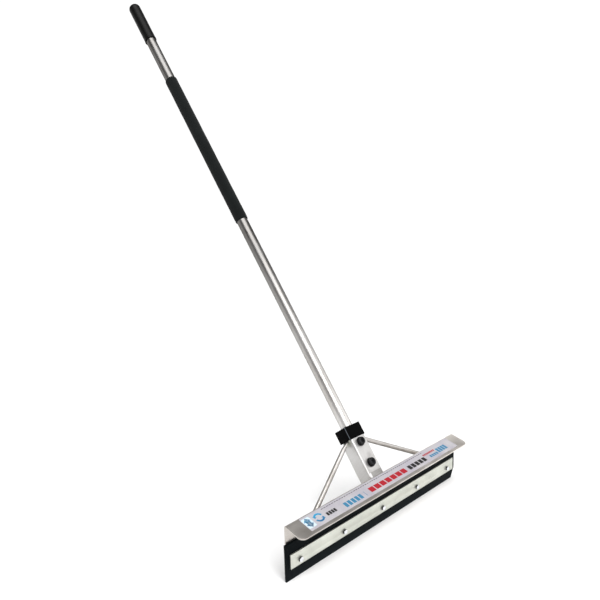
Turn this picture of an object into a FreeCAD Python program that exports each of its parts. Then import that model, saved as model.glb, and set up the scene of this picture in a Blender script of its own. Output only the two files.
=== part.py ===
import FreeCAD, Part
import math
import os
import Sketcher

# A long-handled floor scraper.  A folded metal plate carries a rubber blade, clamped by a
# strip and five bolts.  A folded bracket and two braces hold the plate on a tube handle,
# which has a foam grip half way up and a hand grip at its end.
#
# Millimetres.  X runs along the head, the handle leans back towards +Y, and +Z is up.
# The origin is the middle of the rubber blade's lower edge, the edge that meets the floor.
#
# The socket, the handle and their fasteners are drawn in the handle's own frame: its Z is
# the tube's axis, its -Y is the socket's front, and its zero is level with the plate's fold.

DIMENSIONS = {
    # scraper plate: one folded sheet with a top flange and a back leg
    "head_length": 600,
    "head_height": 122.5,
    "plate_thick": 3,
    "flange_reach": 52,
    "flange_droop": 11.5,
    "back_depth": 94,
    "fold_radius": 4,
    "flange_corner": 14,
    # rubber blade, clamp strip and their bolts
    "rubber_length": 612,
    "rubber_thick": 5,
    "rubber_top": 82,
    "cut_wide": 14,
    "cut_high": 27,
    "strip_length": 590,
    "strip_thick": 3,
    "strip_low": 25.5,
    "strip_high": 57.5,
    "bolt_pitch": 134,
    "bolt_level": 37,
    "bolt_hole": 6.6,
    "bolt_shank": 6,
    "bolt_long": 20,
    "hex_across": 10,
    "bolt_head": 4,
    "nut_high": 5,
    "washer_across": 12,
    "washer_thick": 1.6,
    # printed label on the flange
    "label_length": 530,
    "label_depth": 40,
    "label_inset": 5,
    "label_thick": 0.3,
    # socket bracket
    "handle_angle": 37.2,
    "wall_setback": 11.5,
    "bracket_width": 47,
    "bracket_front": 20,
    "bracket_back": 19,
    "bracket_thick": 3,
    "bracket_fold": 4,
    "bracket_stock": 80,
    "front_low": 1.5,
    "front_high": 89,
    "cheek_high": 78,
    "cheek_round": 14,
    # sleeve and collar
    "sleeve_low": 6,
    "sleeve_high": 111,
    "sleeve_wall": 1.5,
    "collar_width": 54,
    "collar_depth": 41,
    "collar_high": 32,
    "collar_round": 3,
    "collar_top_round": 2,
    "spigot_width": 37.6,
    "spigot_depth": 26,
    "spigot_low": 12,
    "fit_gap": 0.2,
    # cross bolts through the socket and the tube
    "cross_low": 22.5,
    "cross_high": 76,
    "cross_hole": 12.4,
    "cross_shank": 12,
    "cross_cap": 18,
    "cross_cap_high": 7,
    "cross_socket": 10,
    "cross_socket_deep": 4,
    "cross_long": 55,
    "cross_nut": 18,
    "cross_nut_high": 10.8,
    "cross_washer": 22,
    "cross_washer_thick": 2,
    # handle
    "tube_across": 30,
    "tube_wall": 1.5,
    "tube_low": 9,
    "tube_high": 1545,
    "foam_low": 737,
    "foam_high": 1247,
    "foam_across": 36,
    "foam_round": 1.5,
    "grip_low": 1406,
    "grip_high": 1552,
    "grip_across": 36,
    "grip_round": 12.5,
    # braces: tubes with flattened ends
    "brace_across": 11,
    "brace_tab_wide": 15,
    "brace_tab_thick": 3,
    "brace_tab_long": 20,
    "brace_taper": 22,
    "brace_top_back": 2.5,
    "brace_top_level": 87,
    "brace_foot_out": 252,
    "brace_foot_level": 64,
    # weld beads
    "bead_leg": 4,
    # how far a cut runs on, past anything that it might meet
    "clear_cut": 200,
}

BOLT_COUNT = 5
RING_POINTS = 24
SIDES = {"left": -1, "right": 1}
HANDLE_AXIS = FreeCAD.Vector(1, 0, 0)


# ---- document, formulas and placements ---------------------------------------------------

def make_sheet(doc):
    """The driving dimensions: a name in column A and its value, with an alias, in column B."""
    sheet = doc.addObject("Spreadsheet::Sheet", "sizes")
    for row, (alias, value) in enumerate(DIMENSIONS.items(), start=1):
        sheet.set(f"A{row}", alias)
        sheet.set(f"B{row}", str(value))
        sheet.setAlias(f"B{row}", alias)
    doc.recompute()
    return sheet


def bind(item, formulas):
    """Bind each property of an object to a formula over the sheet's aliases."""
    for name, formula in formulas.items():
        item.setExpression(name, formula)


def sized(text):
    """A formula in which each word in braces is an alias of the sheet."""
    return text.replace("{", "sizes.").replace("}", "")


# the handle's axis passes through this point of the part's frame, at the fold's level
AXIS_Y = sized("({rubber_thick} / 2 + {plate_thick} + {wall_setback}"
               " + {bracket_front} * cos({handle_angle}))")
AXIS_Z = sized("({head_height} - {bracket_front} * sin({handle_angle}))")


def lean(item):
    """Stand an object along the handle."""
    item.Placement = FreeCAD.Placement(FreeCAD.Vector(), FreeCAD.Rotation(HANDLE_AXIS, -1))
    bind(item, {
        "Placement.Base.y": AXIS_Y,
        "Placement.Base.z": AXIS_Z,
        "Placement.Rotation.Angle": sized("-{handle_angle}"),
    })


def new_body(doc, label):
    """A PartDesign body whose label is its node's name."""
    body = doc.addObject("PartDesign::Body", label)
    body.Label = label
    return body


def origin_item(body, role):
    """One of the body's own origin planes or axes."""
    return next(item for item in body.Origin.OriginFeatures if item.Role == role)


# ---- sketches and features ---------------------------------------------------------------

def new_sketch(body, plane, name, offset=None):
    """An empty sketch on a plane of the body, moved along the plane's normal."""
    sketch = body.newObject("Sketcher::SketchObject", name)
    sketch.AttachmentSupport = (origin_item(body, plane), [""])
    sketch.MapMode = "FlatFace"
    if offset:
        sketch.setExpression("AttachmentOffset.Base.z", sized(offset))
    return sketch


def hold(sketch, kind, geometry, point, formula):
    """Hold a point's distance from the sketch's origin to a formula."""
    index = sketch.addConstraint(Sketcher.Constraint(kind, -1, 1, geometry, point, 1.0))
    sketch.setExpression(f"Constraints[{index}]", sized(formula))


def outline(sketch, corners):
    """A closed polygon: each corner is a pair of formulas, for its X and its Y."""
    first = sketch.GeometryCount
    count = len(corners)
    turns = [2 * math.pi * step / count for step in range(count + 1)]
    ring = [FreeCAD.Vector(10 * math.cos(turn), 10 * math.sin(turn), 0) for turn in turns]
    for start, end in zip(ring, ring[1:]):
        sketch.addGeometry(Part.LineSegment(start, end))
    for step in range(count):
        following = first + (step + 1) % count
        sketch.addConstraint(Sketcher.Constraint("Coincident", first + step, 2, following, 1))
    for step, (across, up) in enumerate(corners):
        hold(sketch, "DistanceX", first + step, 1, across)
        hold(sketch, "DistanceY", first + step, 1, up)


def rectangle(sketch, left, right, low, high):
    """A rectangle between four formulas."""
    outline(sketch, [(left, low), (right, low), (right, high), (left, high)])


def circle(sketch, across, up, diameter):
    """A circle with its centre and its diameter held to formulas."""
    index = sketch.addGeometry(Part.Circle(FreeCAD.Vector(), FreeCAD.Vector(0, 0, 1), 5))
    hold(sketch, "DistanceX", index, 3, across)
    hold(sketch, "DistanceY", index, 3, up)
    size = sketch.addConstraint(Sketcher.Constraint("Diameter", index, 5.0))
    sketch.setExpression(f"Constraints[{size}]", sized(diameter))


def pad(body, sketch, length, symmetric=False, reverse=False):
    """Pad a sketch by a formula's length."""
    feature = body.newObject("PartDesign::Pad", sketch.Name + "_pad")
    feature.Profile = sketch
    feature.SideType = "Symmetric" if symmetric else "One side"
    feature.Reversed = reverse
    feature.setExpression("Length", sized(length))
    body.Document.recompute()
    return feature


def pocket(body, sketch, length=None, reverse=False):
    """Cut a sketch away, right through both ways or by a length one way."""
    before = body.Shape.Volume
    feature = body.newObject("PartDesign::Pocket", sketch.Name + "_cut")
    feature.Profile = sketch
    feature.Reversed = reverse
    if length:
        feature.SideType = "One side"
        feature.setExpression("Length", sized(length))
    else:
        feature.SideType = "Symmetric"
        feature.Type = "ThroughAll"
    body.Document.recompute()
    if body.Shape.Volume > before - 0.1:
        raise RuntimeError(f"{feature.Name} cuts nothing")
    return feature


def repeat_along_head(body, feature):
    """Repeat a hole at every bolt along the head."""
    pattern = body.newObject("PartDesign::LinearPattern", feature.Name + "_row")
    pattern.Originals = [feature]
    pattern.Direction = (origin_item(body, "X_Axis"), [""])
    pattern.Occurrences = BOLT_COUNT
    pattern.setExpression("Length", sized("{bolt_pitch}") + f" * {BOLT_COUNT - 1}")
    body.Tip = pattern
    body.Document.recompute()


def round_edges(body, wanted, radius):
    """Fillet the edges of the body's tip for which the test is true."""
    base = body.Tip
    names = [f"Edge{index}" for index, edge in enumerate(base.Shape.Edges, start=1)
             if wanted(edge)]
    feature = body.newObject("PartDesign::Fillet", f"{body.Name}_round_{len(body.Group)}")
    feature.Base = (base, names)
    feature.setExpression("Radius", sized(radius))
    body.Document.recompute()
    if not feature.isValid():
        raise RuntimeError(f"{feature.Name} failed on {names}")


def runs_along(edge, axis):
    """True for a straight edge parallel to one axis: 0 is X, 1 is Y and 2 is Z."""
    if edge.Curve.TypeId != "Part::GeomLine":
        return False
    return abs(abs(edge.Curve.Direction[axis]) - 1) < 1e-6


def is_near(number, target):
    return abs(number - target) < 0.01


# ---- the head ----------------------------------------------------------------------------

BACK_FACE = "({rubber_thick} / 2 + {plate_thick})"
STRIP_FACE = "(-{rubber_thick} / 2 - {strip_thick})"


def drill_head(body, name):
    """Drill the row of bolt holes through a piece of the head."""
    holes = new_sketch(body, "XZ_Plane", name)
    circle(holes, f"-{{bolt_pitch}} * {(BOLT_COUNT - 1) / 2}", "{bolt_level}", "{bolt_hole}")
    repeat_along_head(body, pocket(body, holes))


def make_scraper_plate(doc, size):
    """The folded sheet: a flange forward from the fold and a leg down behind the rubber."""
    body = new_body(doc, "scraper_plate")
    fold = new_sketch(body, "YZ_Plane", "plate_fold")
    slope = "atan({flange_droop} / {flange_reach})"
    tip = f"{BACK_FACE} - {{flange_reach}}"
    tip_level = "{head_height} - {flange_droop}"
    inside = f"{{head_height}} - {{plate_thick}} * (tan({slope}) + 1 / cos({slope}))"
    outline(fold, [
        (BACK_FACE, "{head_height} - {back_depth}"),
        (BACK_FACE, "{head_height}"),
        (tip, tip_level),
        (f"{tip} + {{plate_thick}} * sin({slope})", f"{tip_level} - {{plate_thick}} * cos({slope})"),
        ("{rubber_thick} / 2", inside),
        ("{rubber_thick} / 2", "{head_height} - {back_depth}"),
    ])
    pad(body, fold, "{head_length}", symmetric=True)
    thick = size("plate_thick")
    front_y = size("rubber_thick") / 2
    back_y = front_y + thick
    fold_low = size("head_height") - 2 * thick
    folds = {
        "{fold_radius}": back_y,
        "{fold_radius} - {plate_thick}": front_y,
    }
    for radius, fold_y in folds.items():
        round_edges(body, lambda edge, at=fold_y: runs_along(edge, 0)
                    and is_near(edge.CenterOfMass.y, at)
                    and edge.CenterOfMass.z > fold_low, radius)
    tip_y = back_y - size("flange_reach")
    round_edges(body, lambda edge: is_near(edge.Length, thick)
                and edge.CenterOfMass.y < tip_y + thick, "{flange_corner}")
    drill_head(body, "plate_holes")
    return body


def make_rubber_blade(doc):
    """The rubber blade, with the lower corner at its +X end cut off at a slant."""
    body = new_body(doc, "rubber_blade")
    face = new_sketch(body, "XZ_Plane", "rubber_face")
    half = "{rubber_length} / 2"
    outline(face, [
        (f"-{half}", "0"),
        (f"{half} - {{cut_wide}}", "0"),
        (half, "{cut_high}"),
        (half, "{rubber_top}"),
        (f"-{half}", "{rubber_top}"),
    ])
    pad(body, face, "{rubber_thick}", symmetric=True)
    drill_head(body, "rubber_holes")
    return body


def make_clamp_strip(doc):
    """The flat bar that clamps the rubber against the plate."""
    body = new_body(doc, "clamp_strip")
    face = new_sketch(body, "XZ_Plane", "strip_face", offset="{rubber_thick} / 2")
    rectangle(face, "-{strip_length} / 2", "{strip_length} / 2", "{strip_low}", "{strip_high}")
    pad(body, face, "{strip_thick}")
    drill_head(body, "strip_holes")
    return body


def along_y(item, level, face):
    """Turn a part primitive to point at -Y and place it at a level, from a face."""
    turn = FreeCAD.Rotation(FreeCAD.Vector(1, 0, 0), 90)
    item.Placement = FreeCAD.Placement(FreeCAD.Vector(), turn)
    bind(item, {"Placement.Base.z": sized(level), "Placement.Base.y": sized(face)})


def cylinder(doc, name, diameter, height):
    item = doc.addObject("Part::Cylinder", name)
    bind(item, {"Radius": sized(diameter) + " / 2", "Height": sized(height)})
    return item


def hexagon(doc, name, flats, height):
    """A hexagonal prism of a width across its flats, with flats towards +X and -X."""
    item = doc.addObject("Part::Prism", name)
    item.Polygon = 6
    item.Placement = FreeCAD.Placement(
        FreeCAD.Vector(), FreeCAD.Rotation(FreeCAD.Vector(0, 0, 1), 30))
    bind(item, {"Circumradius": sized(flats) + " / 2 / cos(30)", "Height": sized(height)})
    return item


def join(doc, kind, name, base, tool):
    """Part::Fuse or Part::Cut of two objects."""
    item = doc.addObject(kind, name)
    item.Base = base
    item.Tool = tool
    return item


def gather(doc, label, items):
    """One node that holds several separate solids."""
    node = doc.addObject("Part::Compound", label)
    node.Label = label
    node.Links = items
    return node


def bolt_place(step):
    return f"{{bolt_pitch}} * {step - (BOLT_COUNT - 1) / 2}"


def make_blade_bolts(doc):
    """Hexagon bolts: heads on the strip, threads out behind the plate."""
    bolts = []
    for step in range(BOLT_COUNT):
        head = hexagon(doc, f"bolt_head_{step}", "{hex_across}", "{bolt_head}")
        shank = cylinder(doc, f"bolt_shank_{step}", "{bolt_shank}", "{bolt_long}")
        shank.setExpression("Placement.Base.z", sized("-{bolt_long}"))
        bolt = join(doc, "Part::Fuse", f"bolt_{step}", head, shank)
        along_y(bolt, "{bolt_level}", STRIP_FACE)
        bolt.setExpression("Placement.Base.x", sized(bolt_place(step)))
        bolts.append(bolt)
    return gather(doc, "blade_bolts", bolts)


def make_ring_row(doc, label, flats, thick, face):
    """A row of nuts, or of washers where flats is None, each a ring on a bolt."""
    rings = []
    for step in range(BOLT_COUNT):
        if flats:
            outer = hexagon(doc, f"{label}_outer_{step}", flats, thick)
        else:
            outer = cylinder(doc, f"{label}_outer_{step}", "{washer_across}", thick)
        inner = cylinder(doc, f"{label}_hole_{step}", "{bolt_shank}", thick)
        ring = join(doc, "Part::Cut", f"{label}_{step}", outer, inner)
        along_y(ring, "{bolt_level}", face)
        ring.setExpression("Placement.Base.x", sized(bolt_place(step)))
        rings.append(ring)
    return gather(doc, label, rings)


def make_label(doc):
    """The printed label, flat on the flange and set in from its edges."""
    label = doc.addObject("Part::Box", "label")
    label.Label = "label"
    slope = "atan({flange_droop} / {flange_reach})"
    turn = FreeCAD.Rotation(FreeCAD.Vector(1, 0, 0), 1)
    label.Placement = FreeCAD.Placement(FreeCAD.Vector(), turn)
    reach = f"({{label_inset}} + {{label_depth}})"
    bind(label, {
        "Length": sized("{label_length}"),
        "Width": sized("{label_depth}"),
        "Height": sized("{label_thick}"),
        "Placement.Base.x": sized("-{label_length} / 2"),
        "Placement.Base.y": sized(f"{BACK_FACE} - {reach} * cos({slope})"),
        "Placement.Base.z": sized(f"{{head_height}} - {reach} * sin({slope})"),
        "Placement.Rotation.Angle": sized(slope),
    })
    return label


# ---- the socket --------------------------------------------------------------------------

def make_socket_bracket(doc, size):
    """The folded bracket: a front wall and two cheeks that run down to the plate's back."""
    body = new_body(doc, "socket_bracket")
    lean(body)
    section = new_sketch(body, "XY_Plane", "bracket_section", offset="-{bracket_stock}")
    out = "{bracket_width} / 2"
    inside = f"{out} - {{bracket_thick}}"
    wall = "-{bracket_front} + {bracket_thick}"
    outline(section, [
        (f"-{out}", "-{bracket_front}"),
        (out, "-{bracket_front}"),
        (out, "{bracket_back}"),
        (inside, "{bracket_back}"),
        (inside, wall),
        (f"-({inside})", wall),
        (f"-({inside})", "{bracket_back}"),
        (f"-{out}", "{bracket_back}"),
    ])
    pad(body, section, "{front_high} + {bracket_stock}")
    round_edges(body, lambda edge: runs_along(edge, 2)
                and is_near(edge.CenterOfMass.y, -size("bracket_front")), "{bracket_fold}")
    # the cheeks end where they meet the plate's back face, which stands upright
    plate = new_sketch(body, "YZ_Plane", "plate_line")
    start = "-{bracket_front} - {wall_setback} * cos({handle_angle})"
    level = "-{wall_setback} * sin({handle_angle})"
    far_across = "{clear_cut} * sin({handle_angle})"
    far_along = "{clear_cut} * cos({handle_angle})"
    outline(plate, [
        (f"{start} - {far_across}", f"{level} + {far_along}"),
        (f"{start} + {far_across}", f"{level} - {far_along}"),
        (f"{start} - {{clear_cut}}", f"{level} - {{clear_cut}}"),
    ])
    pocket(body, plate)
    # the front wall stops above the fold
    notch = new_sketch(body, "XZ_Plane", "front_notch", offset="{bracket_front} + 1")
    rectangle(notch, f"-({inside})", inside, "-{bracket_stock}", "{front_low}")
    pocket(body, notch, "{bracket_thick} + 2")
    # the cheeks stop below the collar, with their back corners rounded
    top = new_sketch(body, "YZ_Plane", "cheek_top")
    rectangle(top, "-{bracket_front} + {bracket_fold}", "{clear_cut}",
              "{cheek_high}", "{clear_cut}")
    pocket(body, top)
    round_edges(body, lambda edge: runs_along(edge, 0)
                and is_near(edge.CenterOfMass.y, size("bracket_back"))
                and is_near(edge.CenterOfMass.z, size("cheek_high")), "{cheek_round}")
    drill_front(body, "bracket_holes")
    return body


def drill_front(body, name):
    """Drill the two cross bolts' holes from the front to the back."""
    holes = new_sketch(body, "XZ_Plane", name)
    circle(holes, "0", "{cross_low}", "{cross_hole}")
    circle(holes, "0", "{cross_high}", "{cross_hole}")
    pocket(body, holes)


def make_socket_sleeve(doc):
    """The box-section tube inside the bracket, which the collar caps."""
    body = new_body(doc, "socket_sleeve")
    lean(body)
    section = new_sketch(body, "XY_Plane", "sleeve_section", offset="{sleeve_low}")
    wide = "({bracket_width} / 2 - {bracket_thick})"
    deep = "({bracket_front} - {bracket_thick})"
    rectangle(section, f"-{wide}", wide, f"-{deep}", deep)
    bore_wide = f"({wide} - {{sleeve_wall}})"
    bore_deep = f"({deep} - {{sleeve_wall}})"
    rectangle(section, f"-{bore_wide}", bore_wide, f"-{bore_deep}", bore_deep)
    pad(body, section, "{sleeve_high} - {sleeve_low}")
    drill_front(body, "sleeve_holes")
    return body


def make_socket_collar(doc, size):
    """The moulded collar: a cap over the sleeve's end and a spigot round the tube."""
    body = new_body(doc, "socket_collar")
    lean(body)
    block = new_sketch(body, "XY_Plane", "collar_block", offset="{front_high}")
    rectangle(block, "-{collar_width} / 2", "{collar_width} / 2",
              "-{collar_depth} / 2", "{collar_depth} / 2")
    pad(body, block, "{collar_high}")
    round_edges(body, lambda edge: runs_along(edge, 2), "{collar_round}")
    top = size("front_high") + size("collar_high")
    round_edges(body, lambda edge: is_near(edge.CenterOfMass.z, top), "{collar_top_round}")
    recess = new_sketch(body, "XY_Plane", "collar_recess", offset="{front_high}")
    wide = "({bracket_width} / 2 - {bracket_thick} + {fit_gap})"
    deep = "({bracket_front} - {bracket_thick} + {fit_gap})"
    rectangle(recess, f"-{wide}", wide, f"-{deep}", deep)
    pocket(body, recess, "{sleeve_high} - {front_high} + {fit_gap}", reverse=True)
    spigot = new_sketch(body, "XY_Plane", "collar_spigot", offset="{spigot_low}")
    rectangle(spigot, "-{spigot_width} / 2", "{spigot_width} / 2",
              "-{spigot_depth} / 2", "{spigot_depth} / 2")
    pad(body, spigot, "{sleeve_high} + {fit_gap} - {spigot_low}")
    bore = new_sketch(body, "XY_Plane", "collar_bore", offset="{spigot_low} - 1")
    circle(bore, "0", "0", "{tube_across} + 2 * {fit_gap}")
    pocket(body, bore, "{clear_cut}", reverse=True)
    return body


def place_cross(item, level, back):
    """Stand a primitive across the handle: pointing to the front, from a distance back."""
    turn = FreeCAD.Rotation(HANDLE_AXIS, 1)
    item.Placement = FreeCAD.Placement(FreeCAD.Vector(), turn)
    angle = sized("{handle_angle}")
    bind(item, {
        "Placement.Rotation.Angle": f"90 - {angle}",
        "Placement.Base.y": f"{AXIS_Y} + {sized(level)} * sin({angle})"
                            f" + ({sized(back)}) * cos({angle})",
        "Placement.Base.z": f"{AXIS_Z} + {sized(level)} * cos({angle})"
                            f" - ({sized(back)}) * sin({angle})",
    })


CROSS_LEVELS = {"low": "{cross_low}", "high": "{cross_high}"}
SLEEVE_BACK = "({bracket_front} - {bracket_thick})"


def make_socket_bolts(doc):
    """Two socket-head cap screws, their heads on washers on the bracket's front wall."""
    bolts = []
    seat = "-{bracket_front} - {cross_washer_thick}"
    for where, level in CROSS_LEVELS.items():
        cap = cylinder(doc, f"cross_cap_{where}", "{cross_cap}", "{cross_cap_high}")
        key = hexagon(doc, f"cross_key_{where}", "{cross_socket}", "{cross_socket_deep}")
        key.setExpression("Placement.Base.z", sized("{cross_cap_high} - {cross_socket_deep}"))
        head = join(doc, "Part::Cut", f"cross_head_{where}", cap, key)
        shank = cylinder(doc, f"cross_shank_{where}", "{cross_shank}", "{cross_long}")
        shank.setExpression("Placement.Base.z", sized("-{cross_long}"))
        bolt = join(doc, "Part::Fuse", f"cross_bolt_{where}", head, shank)
        place_cross(bolt, level, seat)
        bolts.append(bolt)
    return gather(doc, "socket_bolts", bolts)


def make_cross_rings(doc, label, flats, thick, back):
    """A nut, or a washer where flats is None, on each cross bolt."""
    rings = []
    for where, level in CROSS_LEVELS.items():
        if flats:
            outer = hexagon(doc, f"{label}_outer_{where}", flats, thick)
        else:
            outer = cylinder(doc, f"{label}_outer_{where}", "{cross_washer}", thick)
        inner = cylinder(doc, f"{label}_hole_{where}", "{cross_shank}", thick)
        ring = join(doc, "Part::Cut", f"{label}_{where}", outer, inner)
        place_cross(ring, level, back)
        rings.append(ring)
    return gather(doc, label, rings)


# ---- the handle --------------------------------------------------------------------------

def make_handle_tube(doc):
    """The handle tube, drilled for the two cross bolts."""
    body = new_body(doc, "handle_tube")
    lean(body)
    section = new_sketch(body, "XY_Plane", "tube_section", offset="{tube_low}")
    circle(section, "0", "0", "{tube_across}")
    circle(section, "0", "0", "{tube_across} - 2 * {tube_wall}")
    pad(body, section, "{tube_high} - {tube_low}")
    drill_front(body, "tube_holes")
    return body


def make_foam_grip(doc, size):
    """The foam sleeve for the lower hand."""
    body = new_body(doc, "foam_grip")
    lean(body)
    section = new_sketch(body, "XY_Plane", "foam_section", offset="{foam_low}")
    circle(section, "0", "0", "{foam_across}")
    circle(section, "0", "0", "{tube_across}")
    pad(body, section, "{foam_high} - {foam_low}")
    reach = size("foam_across") / 2
    round_edges(body, lambda edge: edge.Curve.TypeId == "Part::GeomCircle"
                and is_near(edge.Curve.Radius, reach), "{foam_round}")
    return body


def make_hand_grip(doc, size):
    """The end grip, a closed sleeve with a domed end."""
    body = new_body(doc, "hand_grip")
    lean(body)
    section = new_sketch(body, "XY_Plane", "grip_section", offset="{grip_low}")
    circle(section, "0", "0", "{grip_across}")
    pad(body, section, "{grip_high} - {grip_low}")
    bore = new_sketch(body, "XY_Plane", "grip_bore", offset="{grip_low}")
    circle(bore, "0", "0", "{tube_across}")
    pocket(body, bore, "{tube_high} - {grip_low}", reverse=True)
    top = size("grip_high")
    round_edges(body, lambda edge: edge.Curve.TypeId == "Part::GeomCircle"
                and is_near(edge.CenterOfMass.z, top), "{grip_round}")
    return body


# ---- braces and welds --------------------------------------------------------------------

class HandleFrame:
    """Turns handle coordinates into the part's own, for the pieces that join the two."""

    def __init__(self, size):
        lean_angle = math.radians(size("handle_angle"))
        self.along = FreeCAD.Vector(0, math.sin(lean_angle), math.cos(lean_angle))
        self.back = FreeCAD.Vector(0, math.cos(lean_angle), -math.sin(lean_angle))
        self.plate_back = size("rubber_thick") / 2 + size("plate_thick")
        front = FreeCAD.Vector(0, self.plate_back + size("wall_setback"), size("head_height"))
        self.zero = front + self.back * size("bracket_front")

    def point(self, across, back, along):
        return (self.zero + FreeCAD.Vector(across, 0, 0) + self.back * back
                + self.along * along)


class BracePath:
    """The centre line of one brace: top tab, bend, straight run, bend and foot tab."""

    def __init__(self, size, side):
        handle = HandleFrame(size)
        thick = size("brace_tab_thick")
        across = side * (size("bracket_width") / 2 - size("bracket_thick") + thick / 2)
        back = size("brace_top_back")
        self.top_end = handle.point(across, back, size("front_high") - size("fit_gap"))
        self.top_bend = handle.point(across, back, size("brace_top_level"))
        self.foot_bend = FreeCAD.Vector(side * size("brace_foot_out"),
                                        handle.plate_back + thick / 2,
                                        size("brace_foot_level"))
        self.run = (self.foot_bend - self.top_bend).normalize()
        self.foot_along = FreeCAD.Vector(self.run.x, 0, self.run.z).normalize()
        self.foot_end = self.foot_bend + self.foot_along * size("brace_tab_long")
        self.top_along = (self.top_bend - self.top_end).normalize()
        self.top_wide = handle.back
        self.foot_wide = FreeCAD.Vector(0, 1, 0).cross(self.foot_along)
        self.handle = handle


def squashed(turn, half, bluntness):
    """How far out a squashed tube's wall is, on one axis, at a turn's cosine or sine."""
    return math.copysign(abs(turn) ** bluntness, turn) * half


def flattened_ring(centre, normal, wide_axis, wide, thick, start_axis):
    """A many-sided ring round a squashed tube; it starts near one shared direction."""
    bluntness = 1 if is_near(wide, thick) else 0.6
    thick_axis = normal.cross(wide_axis).normalize()
    start = math.atan2(start_axis.dot(thick_axis), start_axis.dot(wide_axis))
    points = []
    for step in range(RING_POINTS):
        turn = start + 2 * math.pi * step / RING_POINTS
        points.append(centre
                      + wide_axis * squashed(math.cos(turn), wide / 2, bluntness)
                      + thick_axis * squashed(math.sin(turn), thick / 2, bluntness))
    return Part.makePolygon([*points, points[0]])


def make_brace(doc, size, label, side):
    """A brace from the sleeve's side to the plate's back: a tube with flattened ends."""
    path = BracePath(size, side)
    tube = size("brace_across")
    wide = size("brace_tab_wide")
    thick = size("brace_tab_thick")
    taper = size("brace_taper")
    round_wide = (path.top_wide - path.run * path.top_wide.dot(path.run)).normalize()
    top_turn = (path.top_along + path.run).normalize()
    foot_turn = (path.foot_along + path.run).normalize()
    stations = [
        (path.top_end, path.top_along, path.top_wide, wide, thick),
        (path.top_bend, top_turn, path.top_wide, wide, thick),
        (path.top_bend + path.run * taper, path.run, round_wide, tube, tube),
        (path.foot_bend - path.run * taper, path.run, round_wide, tube, tube),
        (path.foot_bend, foot_turn, path.foot_wide, wide, thick),
        (path.foot_end, path.foot_along, path.foot_wide, wide, thick),
    ]
    rings = [flattened_ring(*station, path.top_wide) for station in stations]
    brace = doc.addObject("Part::Feature", label)
    brace.Label = label
    brace.Shape = Part.makeLoft(rings, True, True)
    return brace


def bead(start, end, wall, away, leg):
    """A fillet weld's bead: a triangle between a wall's normal and a direction away."""
    corners = [start, start + wall * leg, start + away * leg, start]
    return Part.Face(Part.makePolygon(corners)).extrude(end - start)


def make_bracket_welds(doc, size):
    """The beads along both cheeks where they meet the plate's back."""
    handle = HandleFrame(size)
    down = math.tan(math.radians(size("handle_angle")))
    front = size("head_height") - size("wall_setback") / down
    deep = (size("bracket_front") + size("bracket_back")) / math.sin(
        math.radians(size("handle_angle")))
    back_way = FreeCAD.Vector(0, 1, 0)
    beads = []
    for side in SIDES.values():
        edge = side * size("bracket_width") / 2
        top = FreeCAD.Vector(edge, handle.plate_back, front)
        low = FreeCAD.Vector(edge, handle.plate_back, front - deep)
        beads.append(bead(low, top, back_way, FreeCAD.Vector(side, 0, 0), size("bead_leg")))
    return add_feature(doc, "bracket_welds", Part.makeCompound(beads))


def make_brace_welds(doc, size):
    """The beads along both edges of each brace's foot, and behind each top tab."""
    beads = []
    leg = size("bead_leg") / 2
    half = size("brace_tab_wide") / 2
    for side in SIDES.values():
        path = BracePath(size, side)
        back_way = FreeCAD.Vector(0, 1, 0)
        drop = back_way * (size("brace_tab_thick") / 2)
        for edge in (path.foot_wide, path.foot_wide * -1):
            shift = edge * half - drop
            beads.append(bead(path.foot_bend + shift, path.foot_end + shift, back_way,
                              edge, leg))
        outward = FreeCAD.Vector(side, 0, 0)
        shift = path.top_wide * half - outward * (size("brace_tab_thick") / 2)
        beads.append(bead(path.top_bend + shift, path.top_end + shift, outward,
                          path.top_wide, leg))
    return add_feature(doc, "brace_welds", Part.makeCompound(beads))


def add_feature(doc, label, shape):
    item = doc.addObject("Part::Feature", label)
    item.Label = label
    item.Shape = shape
    return item


# ---- the whole part ----------------------------------------------------------------------

def make_nodes(doc, size):
    """Every separate piece of the scraper, in the order that it is put together."""
    washer_back = f"{BACK_FACE} + {{washer_thick}}"
    nut_back = "{bracket_front} - {bracket_thick} + {cross_washer_thick}"
    return [
        make_scraper_plate(doc, size),
        make_rubber_blade(doc),
        make_clamp_strip(doc),
        make_blade_bolts(doc),
        make_ring_row(doc, "blade_washers", None, "{washer_thick}", washer_back),
        make_ring_row(doc, "blade_nuts", "{hex_across}", "{nut_high}",
                      f"{washer_back} + {{nut_high}}"),
        make_label(doc),
        make_socket_bracket(doc, size),
        make_socket_sleeve(doc),
        make_socket_collar(doc, size),
        make_socket_bolts(doc),
        make_cross_rings(doc, "socket_front_washers", None, "{cross_washer_thick}",
                         "-{bracket_front}"),
        make_cross_rings(doc, "socket_rear_washers", None, "{cross_washer_thick}", nut_back),
        make_cross_rings(doc, "socket_nuts", "{cross_nut}", "{cross_nut_high}",
                         f"{nut_back} + {{cross_nut_high}}"),
        make_handle_tube(doc),
        make_foam_grip(doc, size),
        make_hand_grip(doc, size),
        *[make_brace(doc, size, f"brace_{name}", side) for name, side in SIDES.items()],
        make_bracket_welds(doc, size),
        make_brace_welds(doc, size),
    ]


def check(doc, nodes):
    """Stop on any failed object, and on any node without a sound solid."""
    for item in doc.Objects:
        if "Invalid" in item.State or "Error" in item.State:
            raise RuntimeError(f"{item.Name} failed: {item.State}")
    for node in nodes:
        shape = node.Shape
        if shape.isNull() or not shape.isValid() or not shape.Solids:
            raise RuntimeError(f"{node.Label} has no sound solid")


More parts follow.
